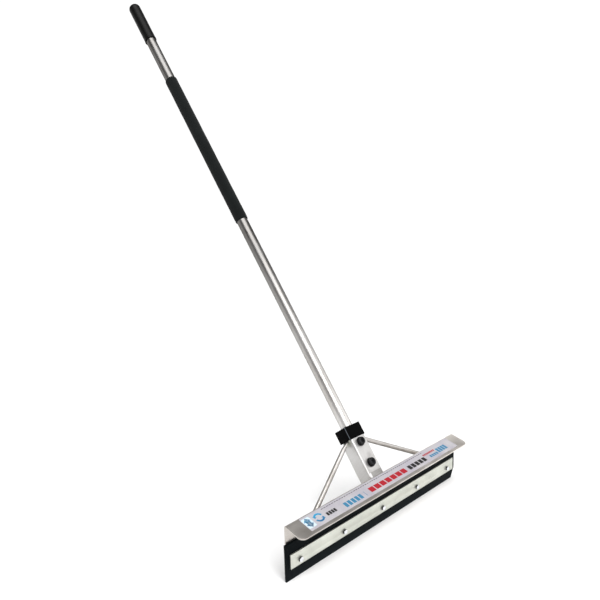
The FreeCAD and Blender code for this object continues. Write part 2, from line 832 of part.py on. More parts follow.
def main():
    doc = FreeCAD.newDocument("floor_scraper")
    sheet = make_sheet(doc)
    nodes = make_nodes(doc, sheet.get)
    doc.recompute()
    check(doc, nodes)
    os.makedirs("parts", exist_ok=True)
    for node in nodes:
        node.Shape.exportStep(f"parts/{node.Label}.step")
        box = node.Shape.BoundBox
        print(f"{node.Label}: {len(node.Shape.Solids)} solid(s), "
              f"{box.XLength:.1f} x {box.YLength:.1f} x {box.ZLength:.1f}")


main()
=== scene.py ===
import math

import bmesh
import bpy
from mathutils import Matrix, Vector, noise


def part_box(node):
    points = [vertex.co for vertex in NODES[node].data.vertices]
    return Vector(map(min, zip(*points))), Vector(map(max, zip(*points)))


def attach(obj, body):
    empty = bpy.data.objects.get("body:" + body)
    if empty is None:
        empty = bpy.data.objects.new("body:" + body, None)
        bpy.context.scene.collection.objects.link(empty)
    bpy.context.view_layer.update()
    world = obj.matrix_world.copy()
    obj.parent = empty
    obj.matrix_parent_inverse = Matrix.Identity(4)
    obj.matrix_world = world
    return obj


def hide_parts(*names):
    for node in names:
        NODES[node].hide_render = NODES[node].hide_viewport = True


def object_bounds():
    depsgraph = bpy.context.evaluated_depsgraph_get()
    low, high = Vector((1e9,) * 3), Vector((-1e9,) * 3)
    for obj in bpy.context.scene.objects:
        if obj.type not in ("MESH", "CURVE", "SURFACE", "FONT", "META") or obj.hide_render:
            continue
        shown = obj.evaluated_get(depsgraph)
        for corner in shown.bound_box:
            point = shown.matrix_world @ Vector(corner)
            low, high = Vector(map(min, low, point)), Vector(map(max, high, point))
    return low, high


# The floor scraper's looks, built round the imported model.  Metres, in the model's own frame:
# X runs along the head, the handle leans back towards +Y, and the floor is at Z = 0.

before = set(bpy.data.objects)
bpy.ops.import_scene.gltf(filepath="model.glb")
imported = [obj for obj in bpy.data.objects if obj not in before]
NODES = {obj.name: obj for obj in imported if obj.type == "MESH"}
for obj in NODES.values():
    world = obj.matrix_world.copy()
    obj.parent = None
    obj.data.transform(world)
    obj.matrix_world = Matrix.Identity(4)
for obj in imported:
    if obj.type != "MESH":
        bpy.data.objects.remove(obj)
cad_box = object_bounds()

MM = 0.001
TURN = 2 * math.pi


# ---- reading the frame -------------------------------------------------------------------

def points_of(node):
    """A CAD node's own corners, each once."""
    found = {tuple(round(c, 7) for c in v.co) for v in NODES[node].data.vertices}
    return [Vector(point) for point in sorted(found)]


def solids_of(node):
    """A CAD node's separate solids: each one's corners, in a fixed order, along X, then Z."""
    mesh = bmesh.new()
    mesh.from_mesh(NODES[node].data)
    bmesh.ops.remove_doubles(mesh, verts=mesh.verts, dist=0.001 * MM)
    waiting = set(mesh.verts)
    solids = []
    while waiting:
        stack = [waiting.pop()]
        found = list(stack)
        while stack:
            for edge in stack.pop().link_edges:
                for corner in edge.verts:
                    if corner in waiting:
                        waiting.remove(corner)
                        found.append(corner)
                        stack.append(corner)
        solids.append(sorted((corner.co.copy() for corner in found), key=tuple))
    mesh.free()
    return sorted(solids, key=lambda solid: [round(part, 4) for part in middle(solid).xzy])


def middle(points):
    """The middle of some points' box."""
    low = Vector(min(p[k] for p in points) for k in range(3))
    high = Vector(max(p[k] for p in points) for k in range(3))
    return (low + high) / 2


def longest_way(points):
    """The direction in which some points spread furthest."""
    centre = sum(points, Vector()) / len(points)
    way = Vector((0.1, 0.5, 0.8))
    for _ in range(60):
        way = sum(((p - centre) * (p - centre).dot(way) for p in points), Vector()).normalized()
    return way


class Axes:
    """A place with three directions at right angles: across, back and along."""

    def __init__(self, origin, along, across=Vector((1, 0, 0))):
        self.origin = origin
        self.along = along
        self.across = across
        self.back = along.cross(across)

    def place(self, across, back, along):
        return self.origin + self.across * across + self.back * back + self.along * along

    def read(self, point):
        arm = point - self.origin
        return arm.dot(self.across), arm.dot(self.back), arm.dot(self.along)

    def span(self, points):
        """The lowest and highest distance along, and the furthest distance out."""
        read = [self.read(point) for point in points]
        levels = [level for _, _, level in read]
        return min(levels), max(levels), max(math.hypot(x, y) for x, y, _ in read)

    def moved(self, across, back, along):
        return Axes(self.place(across, back, along), self.along, self.across)


def handle_axes():
    """The handle's own axes, with the tube's lower end at zero."""
    points = points_of("handle_tube")
    along = longest_way(points)
    if along.z < 0:
        along.negate()
    along.x = 0
    along.normalize()
    axes = Axes(middle(points), along)
    low, _, _ = axes.span(points)
    return axes.moved(0, 0, low)


HANDLE = handle_axes()
BOLT_WAY = Vector((0, -1, 0))


# ---- meshes ------------------------------------------------------------------------------

def add_piece(name, mesh, material, smooth=40):
    """A finished piece: its mesh and material, on the one CAD body. Sharper edges than
    smooth, in degrees, stay crisp."""
    data = bpy.data.meshes.new(name)
    bmesh.ops.recalc_face_normals(mesh, faces=mesh.faces)
    mesh.to_mesh(data)
    mesh.free()
    piece = bpy.data.objects.new(name, data)
    bpy.context.scene.collection.objects.link(piece)
    data.materials.append(material)
    data.shade_smooth()
    data.set_sharp_from_angle(angle=math.radians(smooth))
    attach(piece, "root")
    return piece


def add_rings(mesh, rings, closed=False):
    """Join rings of points, in order, into one skin: its ends are capped, or joined up."""
    corners = [[mesh.verts.new(point) for point in ring] for ring in rings]
    pairs = list(zip(corners, corners[1:]))
    if closed:
        pairs.append((corners[-1], corners[0]))
    for low, high in pairs:
        for step in range(len(low)):
            following = (step + 1) % len(low)
            mesh.faces.new((low[step], low[following], high[following], high[step]))
    if not closed:
        mesh.faces.new(list(reversed(corners[0])))
        mesh.faces.new(corners[-1])


def lathe(axes, profile, sides):
    """Rings round an axis. A profile entry gives a radius and a level, or both at an angle."""
    rings = []
    for entry in profile:
        ring = []
        for step in range(sides):
            angle = TURN * step / sides
            radius, level = entry(angle) if callable(entry) else entry
            ring.append(axes.place(radius * math.cos(angle), radius * math.sin(angle), level))
        rings.append(ring)
    return rings


def prism(mesh, outline, low, high):
    """A straight prism: two functions place the outline's points, one for each face."""
    add_rings(mesh, [[low(point) for point in outline], [high(point) for point in outline]])


def bevel_sharp(mesh, width):
    """Round every edge where two faces meet at more than 30 degrees."""
    edges = [edge for edge in mesh.edges
             if len(edge.link_faces) == 2
             and edge.calc_face_angle(0) > math.radians(30)]
    bmesh.ops.bevel(mesh, geom=edges, offset=width, segments=2, profile=0.5,
                    affect="EDGES", clamp_overlap=True)


def rounded_copy(node, name, material, width, smooth=40):
    """A copy of a CAD node in the node's place. Its sharp edges are rounded, if width says."""
    mesh = bmesh.new()
    mesh.from_mesh(NODES[node].data)
    bmesh.ops.remove_doubles(mesh, verts=mesh.verts, dist=0.002 * MM)
    bmesh.ops.dissolve_limit(mesh, angle_limit=math.radians(1), verts=mesh.verts,
                             edges=mesh.edges)
    if width:
        bevel_sharp(mesh, width)
    bmesh.ops.triangulate(mesh, faces=[face for face in mesh.faces if len(face.verts) > 4])
    piece = add_piece(name, mesh, material, smooth)
    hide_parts(node)
    return piece


# ---- materials ---------------------------------------------------------------------------

class Paint:
    """A material with short ways to add its nodes."""

    def __init__(self, name):
        self.material = bpy.data.materials.new(name)
        self.material.use_nodes = True
        self.tree = self.material.node_tree
        self.shader = self.tree.nodes["Principled BSDF"]
        places = self.tree.nodes.new("ShaderNodeTexCoord")
        self.coords = places.outputs["Object"]
        self.normals = places.outputs["Normal"]

    def add(self, kind, inputs=None, **settings):
        node = self.tree.nodes.new(kind)
        for name, value in settings.items():
            setattr(node, name, value)
        for name, value in (inputs or {}).items():
            self.feed(node.inputs[name], value)
        return node

    def feed(self, socket, value):
        if isinstance(value, bpy.types.NodeSocket):
            self.tree.links.new(value, socket)
        else:
            socket.default_value = value

    def set(self, **values):
        """Shader inputs by name, with an underscore for each space."""
        for name, value in values.items():
            self.feed(self.shader.inputs[name.replace("_", " ")], value)

    def stretched(self, scale, angle=0.0):
        """The object's own coordinates, turned about X and then scaled, to stretch a pattern."""
        turned = self.add("ShaderNodeMapping", {"Vector": self.coords,
                                                "Rotation": (angle, 0, 0)})
        return self.add("ShaderNodeMapping", {"Vector": turned.outputs[0],
                                              "Scale": scale}).outputs[0]

    def noise(self, scale, detail=3.0, rough=0.55, vector=None, distortion=0.0):
        return self.add("ShaderNodeTexNoise", {
            "Vector": vector or self.coords, "Scale": scale, "Detail": detail,
            "Roughness": rough, "Distortion": distortion}).outputs["Fac"]

    def cells(self, scale):
        return self.add("ShaderNodeTexVoronoi", {
            "Vector": self.coords, "Scale": scale}).outputs["Distance"]

    def span(self, value, low, high, to_low, to_high):
        """A value mapped from one range to another, and held to its ends."""
        return self.add("ShaderNodeMapRange", {
            "Value": value, "From Min": low, "From Max": high,
            "To Min": to_low, "To Max": to_high}).outputs["Result"]

    def mix(self, factor, first, second, blend="MIX"):
        node = self.add("ShaderNodeMix", data_type="RGBA", blend_type=blend)
        self.feed(node.inputs[0], factor)
        self.feed(node.inputs[6], first)
        self.feed(node.inputs[7], second)
        return node.outputs[2]

    def sum(self, first, second, share=1.0):
        return self.add("ShaderNodeMath", {0: second, 1: share, 2: first},
                        operation="MULTIPLY_ADD").outputs[0]

    def bump(self, height, distance, strength=1.0):
        node = self.add("ShaderNodeBump", {"Height": height, "Distance": distance,
                                           "Strength": strength})
        self.set(Normal=node.outputs["Normal"])


def grey(value, warm=0.0):
    """A linear grey, warmer where warm is more."""
    return (value * (1 + warm), value, value * (1 - warm), 1)


HANDLE_TURN = math.atan2(HANDLE.along.y, HANDLE.along.z)
LENGTHWAYS = (1.0, 60.0, 60.0)
UP_HANDLE = (60.0, 60.0, 1.0)


def metal(name, light, dark, rough, grain=LENGTHWAYS, angle=0.0, depth=0.03, brushed=0.2,
          rim=1.0, painted_falloff=None):
    """Bare metal: a drawn grain, cloudy colour, and small marks from use.

    Grain stretches the drawn lines, turned about X by angle, and depth is theirs in
    millimetres. Rim is how bright it stays at a glancing angle. The fall-off gives a direction,
    two distances in it and the share of its brightness left at the far one: painted shade, where
    reflected light falls off along the piece.
    """
    paint = Paint(name)
    grain_lines = paint.noise(9, 6, 0.7, paint.stretched(grain, angle))
    clouds = paint.noise(14, 4, 0.6)
    marks = paint.noise(90, 5, 0.75, paint.stretched((3, 3, 1), 0.6), 1.5)
    tone = paint.sum(clouds, grain_lines, 0.35)
    colour = paint.mix(paint.span(tone, 0.45, 0.9, 0, 1), dark, light)
    spots = paint.span(marks, 0.66, 0.74, 0, 1)
    colour = paint.mix(paint.sum(0.0, spots, 0.3), colour, dark)
    # Painted shade: the colour darkens along the given direction, in place of reflected light that
    # falls off along the piece.
    if painted_falloff:
        way, start, stop, left = painted_falloff
        place = paint.add("ShaderNodeVectorMath", {0: paint.coords, 1: way},
                          operation="DOT_PRODUCT").outputs["Value"]
        share = paint.span(paint.sum(place, clouds, 0.05), start, stop, 1.0, left)
        colour = paint.mix(1.0, colour, share, "MULTIPLY")
    paint.set(Base_Color=colour, Metallic=1.0, Specular_Tint=grey(rim, 0.03))
    worn = paint.span(paint.sum(clouds, marks, 0.5), 0.5, 1.1, rough - 0.06, rough + 0.1)
    paint.set(Roughness=paint.sum(worn, grain_lines, 0.08), Anisotropic=brushed)
    paint.bump(paint.sum(grain_lines, marks, 0.4), depth * MM)
    return paint.material


def zinc(name):
    """Bright zinc plating on fasteners: pale on their faces, with their sides painted near black
    as shade.
    """
    paint = Paint(name)
    across = paint.add("ShaderNodeSeparateXYZ", {"Vector": paint.normals}).outputs["Y"]
    faced = paint.add("ShaderNodeMath", {0: across}, operation="ABSOLUTE").outputs[0]
    bloom = paint.cells(900)
    clouds = paint.noise(160, 3)
    tone = paint.span(paint.sum(clouds, bloom, 0.5), 0.3, 1.0, 0, 1)
    face_tone = paint.mix(tone, (0.62, 0.64, 0.68, 1), (0.86, 0.88, 0.9, 1))
    # Painted shade: faces that do not point front or back get this near-black colour.
    painted_side_shade = paint.mix(tone, grey(0.015), grey(0.05))
    paint.set(Base_Color=paint.mix(paint.span(faced, 0.3, 0.9, 0, 1), painted_side_shade, face_tone))
    paint.set(Metallic=1.0, Roughness=paint.span(clouds, 0.3, 0.7, 0.2, 0.36))
    paint.bump(bloom, 0.02 * MM, 0.4)
    return paint.material


def black_steel(name):
    """Black-oxide screws: near black, oily, with bright rubbed spots."""
    paint = Paint(name)
    fine = paint.noise(1400, 4)
    wear_and_painted_highlight = paint.span(paint.noise(260, 5, 0.7), 0.62, 0.72, 0, 0.35)
    paint.set(Base_Color=paint.mix(wear_and_painted_highlight, (0.012, 0.012, 0.013, 1), (0.09, 0.09, 0.09, 1)))
    paint.set(Metallic=0.7, Roughness=paint.span(fine, 0.3, 0.7, 0.28, 0.42))
    paint.bump(fine, 0.015 * MM, 0.5)
    return paint.material


def moulded(name, rough, grain, depth, shine, wear_and_painted_highlight=0.0):
    """Moulded black plastic or soft vinyl: a fine grain and a little dust.

    Depth is the grain's in millimetres, and the last argument is how pale the upright corners are
    painted: a painted highlight along them.
    """
    tone = 0.0012
    dust = 0.004
    paint = Paint(name)
    pits = paint.cells(grain)
    clouds = paint.noise(25, 4)
    dusty = paint.span(paint.noise(70, 6, 0.7), 0.55, 0.8, 0, dust * 8)
    across = paint.add("ShaderNodeSeparateXYZ", {"Vector": paint.normals}).outputs["X"]
    turned = paint.add("ShaderNodeMath", {0: across}, operation="ABSOLUTE").outputs[0]
    # Painted highlight: upright corners, where the normal turns between side faces, get a pale
    # grey line.
    corner = paint.add("ShaderNodeMath", {
        0: paint.span(turned, 0.45, 0.6, 0, wear_and_painted_highlight),
        1: paint.span(turned, 0.75, 0.9, 1, 0)}, operation="MULTIPLY").outputs[0]
    plain = paint.mix(dusty, grey(tone), grey(tone + dust))
    paint.set(Base_Color=paint.mix(corner, plain, (0.16, 0.18, 0.2, 1)))
    paint.set(Roughness=paint.span(paint.sum(clouds, pits, 0.3), 0.3, 1.0, rough, rough + 0.16))
    paint.set(Specular_IOR_Level=shine)
    paint.bump(pits, depth * MM, 0.6)
    return paint.material


def blade_rubber(name):
    """Black sheet rubber: a calendered skin, chalky towards the edge that meets the floor."""
    paint = Paint(name)
    level = paint.add("ShaderNodeSeparateXYZ", {"Vector": paint.coords}).outputs["Z"]
    clouds = paint.noise(18, 5, 0.65)
    specks = paint.noise(420, 4, 0.7)
    chalk = paint.span(paint.sum(level, clouds, -0.05), -0.03, 0.012, 0.75, 0.05)
    faded = paint.mix(chalk, (0.001, 0.0022, 0.0028, 1), (0.0065, 0.0095, 0.0115, 1))
    paint.set(Base_Color=paint.mix(paint.span(specks, 0.62, 0.75, 0, 0.4), faded,
                                   (0.006, 0.0085, 0.01, 1)), Specular_IOR_Level=0.04)
    paint.set(Roughness=paint.span(paint.sum(clouds, specks, 0.4), 0.4, 1.0, 0.42, 0.66))
    weave = paint.noise(60, 4, 0.6, paint.stretched((1, 1, 8)))
    paint.bump(paint.sum(specks, weave, 0.8), 0.06 * MM, 0.7)
    return paint.material


def foam(name):
    """Closed-cell foam: dead black, with pores of two sizes."""
    paint = Paint(name)
    pores = paint.cells(950)
    coarse = paint.cells(330)
    clouds = paint.noise(22, 4)
    tone = paint.span(paint.sum(clouds, pores, 0.6), 0.3, 1.1, 0, 1)
    paint.set(Base_Color=paint.mix(tone, (0.0008, 0.0014, 0.0014, 1), (0.004, 0.006, 0.006, 1)))
    paint.set(Roughness=paint.span(coarse, 0.0, 0.8, 0.95, 0.78), Specular_IOR_Level=0.12,
              Sheen_Weight=0.04, Sheen_Roughness=0.6)
    paint.bump(paint.sum(pores, coarse, 0.7), 0.25 * MM, 0.8)
    return paint.material


def label_film(name):
    """Silvery printed film: a pearl tint that drifts, under a clear skin."""
    paint = Paint(name)
    drift = paint.noise(16, 4, 0.6)
    ripple = paint.noise(240, 3, 0.5, paint.stretched((1, 6, 6)))
    tint = paint.mix(paint.span(drift, 0.35, 0.65, 0, 1), (0.47, 0.44, 0.52, 1),
                     (0.60, 0.58, 0.60, 1))
    paint.set(Base_Color=paint.mix(paint.span(ripple, 0.4, 0.7, 0, 0.3), tint, grey(0.72)))
    paint.set(Metallic=0.35, Roughness=paint.span(drift, 0.3, 0.7, 0.3, 0.45),
              Coat_Weight=0.25, Coat_Roughness=0.2)
    paint.bump(ripple, 0.02 * MM, 0.6)
    return paint.material


def ink(name, colour, rear=None):
    """Screen-printed ink, thinner in places. It may change to another colour at the rear."""
    paint = Paint(name)
    thin = paint.noise(220, 5, 0.7)
    full = (*colour, 1)
    if rear:
        low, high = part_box("label")
        back = paint.add("ShaderNodeSeparateXYZ", {"Vector": paint.coords}).outputs["Y"]
        full = paint.mix(paint.span(back, low.y, high.y, 0, 1), full, (*rear, 1))
    faded = tuple(0.85 * part + 0.06 for part in colour) + (1,)
    paint.set(Base_Color=paint.mix(paint.span(thin, 0.55, 0.8, 0, 0.35), full, faded))
    paint.set(Roughness=paint.span(thin, 0.3, 0.7, 0.35, 0.55))
    paint.bump(thin, 0.01 * MM, 0.5)
    return paint.material


def weld_steel(name):
    """A weld bead: grey, with heat colours and soot that vary along it."""
    paint = Paint(name)
    heat = paint.noise(120, 4, 0.6)
    soot = paint.noise(500, 5, 0.7)
    tone = paint.mix(paint.span(heat, 0.35, 0.7, 0, 1), (0.34, 0.31, 0.27, 1),
                     (0.55, 0.55, 0.55, 1))
    paint.set(Base_Color=paint.mix(paint.span(soot, 0.55, 0.7, 0, 0.5), tone, grey(0.12)))
    paint.set(Metallic=0.9, Roughness=paint.span(soot, 0.3, 0.7, 0.32, 0.5))
    paint.bump(soot, 0.05 * MM, 0.6)
    return paint.material


def pale_floor(name):
    """The studio floor: white, with the faintest unevenness."""
    paint = Paint(name)
    clouds = paint.noise(1.5, 3)
    paint.set(Base_Color=paint.mix(paint.span(clouds, 0.3, 0.7, 0, 1), grey(0.9), grey(0.93)))
    paint.set(Roughness=0.85)
    return paint.material


def all_materials():
    """Every material of the tool, by a short name."""
    return {
        # The plate is painted darker towards its left end (-X): painted shade, not a change in the
        # metal.
        "plate": metal("plate_metal", grey(0.92, 0.04), grey(0.66, 0.09), 0.32,
                       painted_falloff=(Vector((-1, 0, 0)), -0.25, 0.25, 0.62)),
        "strip": metal("strip_metal", (0.70, 0.71, 0.65, 1), (0.52, 0.53, 0.48, 1), 0.46),
        "bracket": metal("bracket_metal", grey(0.66, 0.01), grey(0.46, 0.03), 0.42,
                         UP_HANDLE, -HANDLE_TURN),
        "tube": metal("tube_metal", grey(0.78, 0.02), grey(0.60, 0.05), 0.30,
                      UP_HANDLE, -HANDLE_TURN, depth=0.02, brushed=0.4, rim=0.25,
                      painted_falloff=TUBE_PAINTED_FALLOFF),
        "brace": metal("brace_metal", grey(0.66, 0.03), grey(0.42, 0.07), 0.33, rim=0.3),
        "zinc": zinc("zinc_steel"),
        "black_steel": black_steel("black_steel"),
        # The collar's upright corners carry a painted highlight.
        "plastic": moulded("black_plastic", rough=0.42, grain=1600, depth=0.03, shine=0.025,
                           wear_and_painted_highlight=0.6),
        "vinyl": moulded("grip_vinyl", rough=0.36, grain=1100, depth=0.04, shine=0.14),
        "rubber": blade_rubber("blade_rubber"),
        "foam": foam("grip_foam"),
        "film": label_film("label_film"),
        "weld": weld_steel("weld_steel"),
        "blue": ink("ink_blue", (0.035, 0.19, 0.33)),
        "arrow": ink("ink_arrow", (0.008, 0.05, 0.17), (0.02, 0.36, 0.62)),
        "sky": ink("ink_sky", (0.56, 0.68, 0.76)),
        "red": ink("ink_red", (0.36, 0.003, 0.014)),
        "black": ink("ink_black", (0.006, 0.005, 0.006)),
    }


TUBE_FOOT = HANDLE.origin.dot(HANDLE.along)
# The tube is painted darker from near the socket towards its top: a painted fall of reflected
# light.
TUBE_PAINTED_FALLOFF = (HANDLE.along, TUBE_FOOT + 60 * MM, TUBE_FOOT + 650 * MM, 0.32)
PAINTS = all_materials()


# ---- the handle --------------------------------------------------------------------------

def make_foam_grip():
    """The foam sleeve: slightly uneven, with soft ends."""
    low, high, radius = HANDLE.span(points_of("foam_grip"))
    bore = HANDLE.span(points_of("handle_tube"))[2] + 0.05 * MM
    soft = 3.5 * MM
    rows = 150

    def skin(level):
        def at(angle):
            way = Vector((math.cos(angle), math.sin(angle), level * 25))
            swell = noise.noise(way * 1.3) * 0.35 * MM + noise.noise(way * 7) * 0.12 * MM
            end = min(level - low, high - level)
            tuck = soft - math.sqrt(max(0.0, soft ** 2 - max(0.0, soft - end) ** 2))
            return radius - 0.4 * MM + swell - tuck * 0.6, level
        return at

    levels = [low + (high - low) * (1 - math.cos(math.pi * k / rows)) / 2 for k in range(rows + 1)]
    profile = [skin(level) for level in levels]
    profile += [(bore, high), (bore, (low + high) / 2), (bore, low)]
    mesh = bmesh.new()
    add_rings(mesh, lathe(HANDLE, profile, 72), closed=True)
    piece = add_piece("foam_sleeve", mesh, PAINTS["foam"], 60)
    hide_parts("foam_grip")


def make_hand_grip():
    """The vinyl end grip: a rolled lip, a straight body with a mould seam, and a domed end."""
    low, high, radius = HANDLE.span(points_of("hand_grip"))
    bore = HANDLE.span(points_of("handle_tube"))[2] + 0.05 * MM
    tube_end = HANDLE.span(points_of("handle_tube"))[1] + 0.1 * MM
    lip = 5 * MM
    dome = 12.5 * MM
    slack = 0.6 * MM

    def seamed(size, level):
        def at(angle):
            side = abs(math.remainder(angle, math.pi))
            seam = 0.18 * MM * math.exp(-(side * size / (0.5 * MM)) ** 2)
            return size + seam, level
        return at

    profile = [(radius - 1.2 * MM, low)]
    for step in range(9):
        turn = math.pi * step / 8
        swell = slack * math.sin(turn)
        profile.append(seamed(radius - slack + swell, low + lip * (1 - math.cos(turn)) / 2))
    body_end = high - dome
    for step in range(1, 25):
        profile.append(seamed(radius - slack, low + lip + (body_end - low - lip) * step / 24))
    for step in range(1, 13):
        turn = math.pi / 2 * step / 12
        size = radius - slack - dome * (1 - math.cos(turn))
        profile.append(seamed(size, body_end + dome * math.sin(turn)))
    flat = radius - slack - dome
    profile += [(flat * 0.6, high), (0.15 * flat, high - 0.2 * MM), (0.15 * flat, tube_end)]
    profile += [(bore * 0.95, tube_end), (bore, tube_end - 0.5 * MM), (bore, low)]
    mesh = bmesh.new()
    add_rings(mesh, lathe(HANDLE, profile, 72), closed=True)
    piece = add_piece("hand_grip_vinyl", mesh, PAINTS["vinyl"], 35)
    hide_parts("hand_grip")


# ---- the rubber blade --------------------------------------------------------------------

def make_rubber_blade():
    """The rubber: rounded edges, a slanted lower corner and a slightly wavy working edge."""
    points = points_of("rubber_blade")
    low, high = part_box("rubber_blade")
    foot_end = max(p.x for p in points if p.z < low.z + 0.1 * MM)
    cut_top = min(p.z for p in points if p.x > high.x - 0.1 * MM)
    edge = 0.7 * MM
    half = (high.y - low.y) / 2
    columns = 160
    rows = 16

    def side(level):
        """The +X end at a level: the slanted corner, then straight up."""
        rise = min(1.0, (level - low.z) / (cut_top - low.z))
        return foot_end + (high.x - foot_end) * rise

    def sway(x, level):
        hang = max(0.0, 1 - (level - low.z) / (30 * MM))
        return noise.noise(Vector((x * 9, 0, 3))) * 0.5 * MM * hang ** 2

    mesh = bmesh.new()
    steps = [0, 0.15, 0.5, 0.85, 1]
    ends = [edge * (1 - math.cos(math.pi / 2 * step)) for step in steps]
    heights = [low.z + lift for lift in ends]
    heights += [low.z + edge + (high.z - low.z - 2 * edge) * k / rows for k in range(1, rows)]
    heights += [high.z - lift for lift in reversed(ends)]
    rings = []
    for column in range(-len(steps), columns + len(steps) + 1):
        ring = []
        inner = min(max(column / columns, 0), 1)
        outer = max(-column, column - columns, 0) / len(steps)
        thin_end = edge * (1 - math.sqrt(max(0.0, 1 - outer ** 2)))
        push = edge * outer * (1 if column > columns else -1)
        for face in (1, -1):
            for level in heights if face == 1 else reversed(heights):
                rim = min(level - low.z, high.z - level, edge)
                thin = edge - math.sqrt(max(0.0, edge ** 2 - (edge - rim) ** 2))
                left = low.x + edge
                right = side(level) - edge
                x = left + (right - left) * inner + push
                y = face * (half - max(thin, thin_end))
                ring.append(Vector((x, y + sway(x, level), level)))
        rings.append(ring)
    add_rings(mesh, rings)
    piece = add_piece("rubber_blade_skin", mesh, PAINTS["rubber"], 50)
    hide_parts("rubber_blade")


# ---- fasteners ---------------------------------------------------------------------------

def hex_reach(angle, flats):
    """How far out a hexagon's side is; its flats face the across axis."""
    sector = math.radians(60)
    return flats / 2 / math.cos((angle + sector / 2) % sector - sector / 2)


def chamfered(flats, level, inward):
    """A hexagon cut back by its chamfer's cone: lower where it reaches further out."""
    round_face = flats / 2 * 0.96

    def at(angle):
        reach = hex_reach(angle, flats)
        return reach, level + inward * (reach - round_face) * math.tan(math.radians(30))
    return at


def threaded(radius, pitch, start, end):
    """A thread's profile rings between two levels."""
    depth = pitch * 0.6
    count = max(2, round(abs(end - start) / (pitch / 6)))
    rings = []
    for step in range(count + 1):
        level = start + (end - start) * step / count
        fade = min(1.0, step / 4, (count - step) / 4)

        def at(angle, level=level, fade=fade):
            phase = (level / pitch - angle / TURN) % 1
            return radius - depth * fade * (1 - abs(2 * phase - 1)), level
        rings.append(at)
    return rings


def hex_bolt(axes, flats, head, shank, length, thread, pitch):
    """A hexagon bolt along an axis, its bearing face at zero and its head on the plus side."""
    face = flats / 2 * 0.95
    profile = [(shank * 0.3, -length), (shank * 0.8, -length)]
    profile += threaded(shank, pitch, -length + 0.4 * MM, -length + thread)
    profile += [(shank, -length + thread + pitch), (shank, 0), (face, 0), (face, 0.15 * MM)]
    profile += [lambda angle: (hex_reach(angle, flats), 0.2 * MM), chamfered(flats, head, -1)]
    profile += [(face, head), (face * 0.55, head - 0.1 * MM), (face * 0.1, head - 0.1 * MM)]
    return lathe(axes, profile, 48)


def hex_nut(axes, flats, high, bore):
    """A nut from zero to its height, chamfered on both faces, with a countersunk bore."""
    face = flats / 2 * 0.95
    sink = 0.4 * MM
    profile = [(face, 0), chamfered(flats, 0, 1), chamfered(flats, high, -1), (face, high),
               (bore + sink, high), (bore, high - sink), (bore, sink), (bore + sink, 0)]
    return lathe(axes, profile, 48)


def ring_sizes(axes, solids):
    """For solids on one kind of axis: each one's own axes, with its lowest level at zero."""
    placed = []
    for solid in solids:
        centre = Axes(middle(solid), axes.along, axes.across)
        low, high, reach = centre.span(solid)
        placed.append((centre.moved(0, 0, low), high - low, reach))
    return placed


def flats_of(reach):
    return reach * 2 * math.cos(math.radians(30))


def make_blade_bolts():
    """The five bolts, with heads on the strip and threads that come out behind the plate."""
    front = Axes(Vector(), BOLT_WAY)
    strip_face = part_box("clamp_strip")[0].y
    mesh = bmesh.new()
    for solid in solids_of("blade_bolts"):
        centre = middle(solid)
        axes = Axes(Vector((centre.x, strip_face, centre.z)), BOLT_WAY)
        low, high, reach = axes.span(solid)
        shank = min(math.hypot(*axes.read(p)[:2]) for p in solid if axes.read(p)[2] < -1 * MM)
        add_rings(mesh, hex_bolt(axes, flats_of(reach), high, shank, -low, 9 * MM, 1 * MM))
    bolts = add_piece("hex_bolts", mesh, PAINTS["zinc"], 30)
    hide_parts("blade_bolts")
    mesh = bmesh.new()
    for axes, high, reach in ring_sizes(front, solids_of("blade_nuts")):
        add_rings(mesh, hex_nut(axes, flats_of(reach), high, shank), closed=True)
    nuts = add_piece("hex_nuts", mesh, PAINTS["zinc"], 30)
    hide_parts("blade_nuts")


def cap_screw(axes, reach, head, shank, length):
    """A socket-head screw: a knurled head with a hexagon socket, and a threaded end."""
    knurls = 36
    chamfer = 0.7 * MM
    key = 10 * MM
    deep = 4 * MM
    pitch = 1.75 * MM

    def knurled(level):
        def at(angle):
            return reach - 0.22 * MM * (0.5 - 0.5 * math.cos(knurls * angle)), level
        return at

    def socket(level):
        return lambda angle: (hex_reach(angle, key), level)

    profile = [(shank * 0.3, -length), (shank * 0.82, -length)]
    profile += threaded(shank, pitch, -length + 1 * MM, -length + 20 * MM)
    profile += [(shank, -length + 22 * MM), (shank, 0), (reach - chamfer, 0)]
    profile += [knurled(0.4 * MM), knurled(head - 2 * chamfer)]
    profile += [(reach - 0.25 * MM, head - 1.6 * chamfer), (reach - 0.3 * MM, head - chamfer)]
    profile += [(reach - chamfer, head - 0.3 * MM)]
    profile += [(reach - 1.6 * chamfer, head), (key * 0.6, head), (key * 0.575, head - 0.1 * MM)]
    profile += [socket(head - 0.5 * MM), socket(head - deep), (key * 0.2, head - deep - 0.8 * MM)]
    return lathe(axes, profile, 216)


def make_socket_bolts():
    """The two black screws through the bracket, with their nuts."""
    forward = Axes(HANDLE.origin, -HANDLE.back)
    mesh = bmesh.new()
    for solid in solids_of("socket_bolts"):
        axes = Axes(middle(solid), forward.along, forward.across)
        read = [axes.read(point) for point in solid]
        reach = max(math.hypot(x, y) for x, y, _ in read)
        seat = min(level for x, y, level in read if math.hypot(x, y) > reach - 0.1 * MM)
        low = min(level for _, _, level in read)
        high = max(level for _, _, level in read)
        shank = max(math.hypot(x, y) for x, y, level in read if level < seat - 1 * MM)
        add_rings(mesh, cap_screw(axes.moved(0, 0, seat), reach, high - seat, shank, seat - low))
    screws = add_piece("cap_screws", mesh, PAINTS["black_steel"], 30)
    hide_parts("socket_bolts")
    mesh = bmesh.new()
    for axes, high, reach in ring_sizes(forward, solids_of("socket_nuts")):
        add_rings(mesh, hex_nut(axes, flats_of(reach), high, shank), closed=True)
    nuts = add_piece("cap_screw_nuts", mesh, PAINTS["black_steel"], 30)
    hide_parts("socket_nuts")


# ---- welds -------------------------------------------------------------------------------

